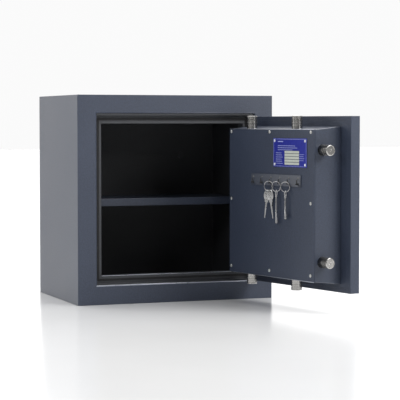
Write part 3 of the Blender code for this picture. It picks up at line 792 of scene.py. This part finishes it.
# ------------------------------------------------------------------ outer door furniture
def make_handle():
    """Waisted crossbar through a turned hub, bored for the spindle."""
    low, high = shut_box("handle_grip")
    middle = (low + high) / 2
    reach = (high.z - low.z) / 2 / MM
    half = [(0.0, 8.4), (6.0, 8.3), (15.0, 6.2), (24.0, 5.6), (34.0, 6.4), (reach - 6.0, 8.3),
            (reach - 2.5, 8.2), (reach - 0.8, 7.0), (reach, 4.6)]
    bar = turned("handle_bar_turned", [(-away, radius) for away, radius in reversed(half[1:])] + half, 56)
    lay(bar, Matrix.Translation((middle.x, low.y + 8.5 * MM, middle.z)))
    foot = aimed((middle.x, high.y, middle.z), "-y")
    tall = (high.y - low.y) / MM
    collar = [(0.0, 15.0), (3.0, 15.0), (3.6, 14.2), (4.6, 14.2), (5.2, 15.0), (8.0, 15.0), (12.0, 12.0)]
    cap = [(tall - 12.0, 11.0), (tall - 4.0, 9.5), (tall - 1.6, 6.0), (tall - 0.8, 3.0)]
    hub = turned("handle_hub_turned", collar + cap, 56)
    lay(hub, foot)
    socket = turned("socket", [(-2.0, 7.3), (22.0, 7.3)], 40)
    lay(socket, foot)
    carve(hub, [bar], "UNION")
    carve(hub, [socket])
    lay(hub, DOOR)
    add_piece(hub, "handle", "chrome", ("handle_grip",))


def cross_head():
    """Countersunk screw head with a cross slot, facing +Z."""
    head = turned("head", [(-1.2, 2.6), (0.0, 3.3), (0.25, 3.2), (0.45, 2.4)], 28)
    long, narrow, bottom, top = 2.3 * MM, 0.42 * MM, 0.1 * MM, 2 * MM
    slots = [slab("slot", (-x, -y, bottom), (x, y, top)) for x, y in ((long, narrow), (narrow, long))]
    return carve(head, slots)


def make_leaf_screws():
    """Three countersunk heads on each hinge leaf."""
    leaf_behind_pin, margin = 4.5 * MM, 6 * MM
    face = HINGE.y + leaf_behind_pin
    head = cross_head()
    for place in ("lower", "upper"):
        for side, body in (("frame", "cabinet"), ("door", "door")):
            node = "hinge_%s_leaf_%s" % (side, place)
            if side == "frame":
                low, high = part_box(node)
                outer, inner, swing = high.x - margin, high.x - 17.0 * MM, Matrix.Identity(4)
            else:
                low, high = shut_box(node)
                outer, inner, swing = low.x + margin, low.x + 18.0 * MM, DOOR
            spots = ((outer, low.z + margin), (outer, high.z - margin), (inner, (low.z + high.z) / 2))
            for i, (x, z) in enumerate(spots):
                name = "hinge_screw_%s_%s_%d" % (place, side, i + 1)
                screw = lay_copy(head, name, swing @ aimed((x, face, z), "-y"))
                add_piece(screw, body, "zinc")
    put_away(head)


# ------------------------------------------------------------------ edge strips with painted highlights
# The casing's front beside, below and above its mouth.
MOUTH_SIDE, MOUTH_FOOT, MOUTH_HEAD = 45 * MM, 44 * MM, 42 * MM
# The inner edge of the door stop, in from the casing's side, up from its foot and back from its front.
STOP_SIDE, STOP_FOOT, STOP_BACK = 67 * MM, 66.5 * MM, 27.2 * MM


def edge_frame(name, outer, inner, y_front, y_back):
    """Picture-frame strip between two rectangles, each (x0, x1, z0, z1)."""
    piece = slab(name, (outer[0], y_front, outer[2]), (outer[1], y_back, outer[3]))
    beyond = 20 * MM
    window = slab("window", (inner[0], y_front - beyond, inner[2]), (inner[1], y_back + beyond, inner[3]))
    return carve(piece, [window])


def make_edges():
    """Rolled mouth edge, and light metal strips on the mouth sill, the door stop and the cover's top and
    bottom edges: painted highlights where those edges catch the light.
    """
    casing_low, casing_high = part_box("outer_casing")
    front = casing_low.y
    x0, x1 = casing_low.x + MOUTH_SIDE, casing_high.x - MOUTH_SIDE
    z0, z1 = casing_low.z + MOUTH_FOOT, casing_high.z - MOUTH_HEAD
    out, into = 0.5 * MM, 1.8 * MM
    mouth = edge_frame("mouth_edge", (x0 - out, x1 + out, z0 - out, z1 + out),
                       (x0 + into, x1 - into, z0 + into, z1 - into), front + 0.2 * MM, front + 5.0 * MM)
    add_piece(round_edges(mouth, 1.2, 4), "cabinet", "slate_gloss")
    # Painted highlight: light strip along the mouth's bottom edge.
    sill = slab("mouth_sill", (x0 + 0.2 * MM, front + 0.1 * MM, z0 - 0.4 * MM),
                (x1 - 0.2 * MM, front + 5.0 * MM, z0 + 3.0 * MM))
    add_piece(round_edges(sill, 1.2, 4), "cabinet", "edge")
    # Painted highlight: light strip along the door stop's edge.
    stop_z = casing_low.z + STOP_FOOT
    stop = slab("stop_sill", (casing_low.x + STOP_SIDE, front + STOP_BACK, stop_z - 0.9 * MM),
                (casing_high.x - STOP_SIDE, front + STOP_BACK + 4.3 * MM, stop_z + 1.0 * MM))
    add_piece(round_edges(stop, 0.8, 3), "cabinet", "edge")
    # Painted highlights along the cover plate's top and bottom edges.
    low, high = shut_box("cover_plate")
    for name, z in (("top", high.z), ("bottom", low.z)):
        rim = slab("cover_edge_" + name, (low.x + 0.4 * MM, low.y - 0.1 * MM, z - 0.9 * MM),
                   (high.x - 0.4 * MM, high.y + 0.2 * MM, z + 0.4 * MM))
        add_piece(lay(round_edges(rim, 0.55, 3), DOOR), "door", "edge")


# ------------------------------------------------------------------ build the pieces
make_bolts()
make_keys()
make_hooks()
make_print()
make_handle()
make_leaf_screws()
make_edges()

for node, width in (("door_frame", 0.8), ("shelf", 0.7), ("inner_lining", 0.8), ("door_back_plate", 0.4)):
    ease(node, width)


# ------------------------------------------------------------------ stage, light and camera
# How bright the air is in front, behind and overhead, and where the camera looks straight into it.
FRONT_AIR, BACK_AIR, TOP_AIR, BACKDROP = 0.12, 1.45, 0.50, 0.96
CAMERA_PLACE = (-1.33980, -3.78834, 0.43397)
CAMERA_LENS = 143.91
CAMERA_DIP, CAMERA_TURN = 2.772, -21.1296


def make_stage():
    """Wide pale floor with a soft reflection."""
    clear()
    bpy.ops.mesh.primitive_plane_add(size=30.0, location=(0.0, 6.0, 0.0))
    floor = bpy.context.object
    floor.name = "studio_floor"
    made = Finish("pale_floor", (0.97, 0.97, 0.97), 0.0, 0.2, **{"Specular IOR Level": 0.6})
    mottle = made.noise(3.0, 2.0)
    made.feed(rough=0.14 + mottle * 0.06)
    floor.data.materials.append(made.material)


def make_world():
    """Pale behind and overhead, dim in front, and plain near-white where the camera sees it."""
    world = bpy.data.worlds.new("studio")
    bpy.context.scene.world = world
    world.use_nodes = True
    air = Nodes(world.node_tree)
    back = air.tree.nodes["Background"]
    back.inputs["Color"].default_value = (1.0, 1.0, 1.0, 1.0)
    way = air.add("ShaderNodeTexCoord", output="Generated")
    depth = air.add("ShaderNodeSeparateXYZ", {}, (way,), "Y")
    height = air.add("ShaderNodeSeparateXYZ", {}, (way,), "Z")
    seen = air.add("ShaderNodeLightPath", output="Is Camera Ray")
    glow = FRONT_AIR + (BACK_AIR - FRONT_AIR) * depth.ramp(0.05, 0.8) + TOP_AIR * height.ramp(0.25, 0.9)
    air.join(seen * (BACKDROP - glow) + glow, back.inputs["Strength"])


def soft_light(name, where, aim, size, power):
    """Square area light with its size in metres and its power in watts."""
    clear()
    bpy.ops.object.light_add(type="AREA", location=where)
    lamp = bpy.context.object
    lamp.name = name
    lamp.data.shape, lamp.data.size, lamp.data.energy = "SQUARE", size, power
    lamp.rotation_euler = (Vector(aim) - Vector(where)).to_track_quat("-Z", "Y").to_euler()


def make_camera():
    clear()
    bpy.ops.object.camera_add(location=CAMERA_PLACE)
    camera = bpy.context.object
    camera.name = "studio_camera"
    camera.data.lens, camera.data.sensor_width = CAMERA_LENS, 36.0
    camera.rotation_euler = (math.radians(90.0 - CAMERA_DIP), 0.0, math.radians(CAMERA_TURN))
    camera.data.clip_end = 100.0
    bpy.context.scene.camera = camera


make_stage()
make_world()
soft_light("key_light", (1.5, -2.2, 1.6), (0.0, -0.2, 0.3), 1.3, 46.0)
soft_light("left_light", (-1.9, -1.5, 1.3), (0.15, -0.3, 0.25), 0.5, 9.0)
soft_light("top_light", (0.0, 0.1, 2.4), (0.0, 0.0, 0.2), 2.4, 26.0)
make_camera()
bpy.context.scene.view_settings.view_transform = "Standard"
bpy.context.view_layer.update()
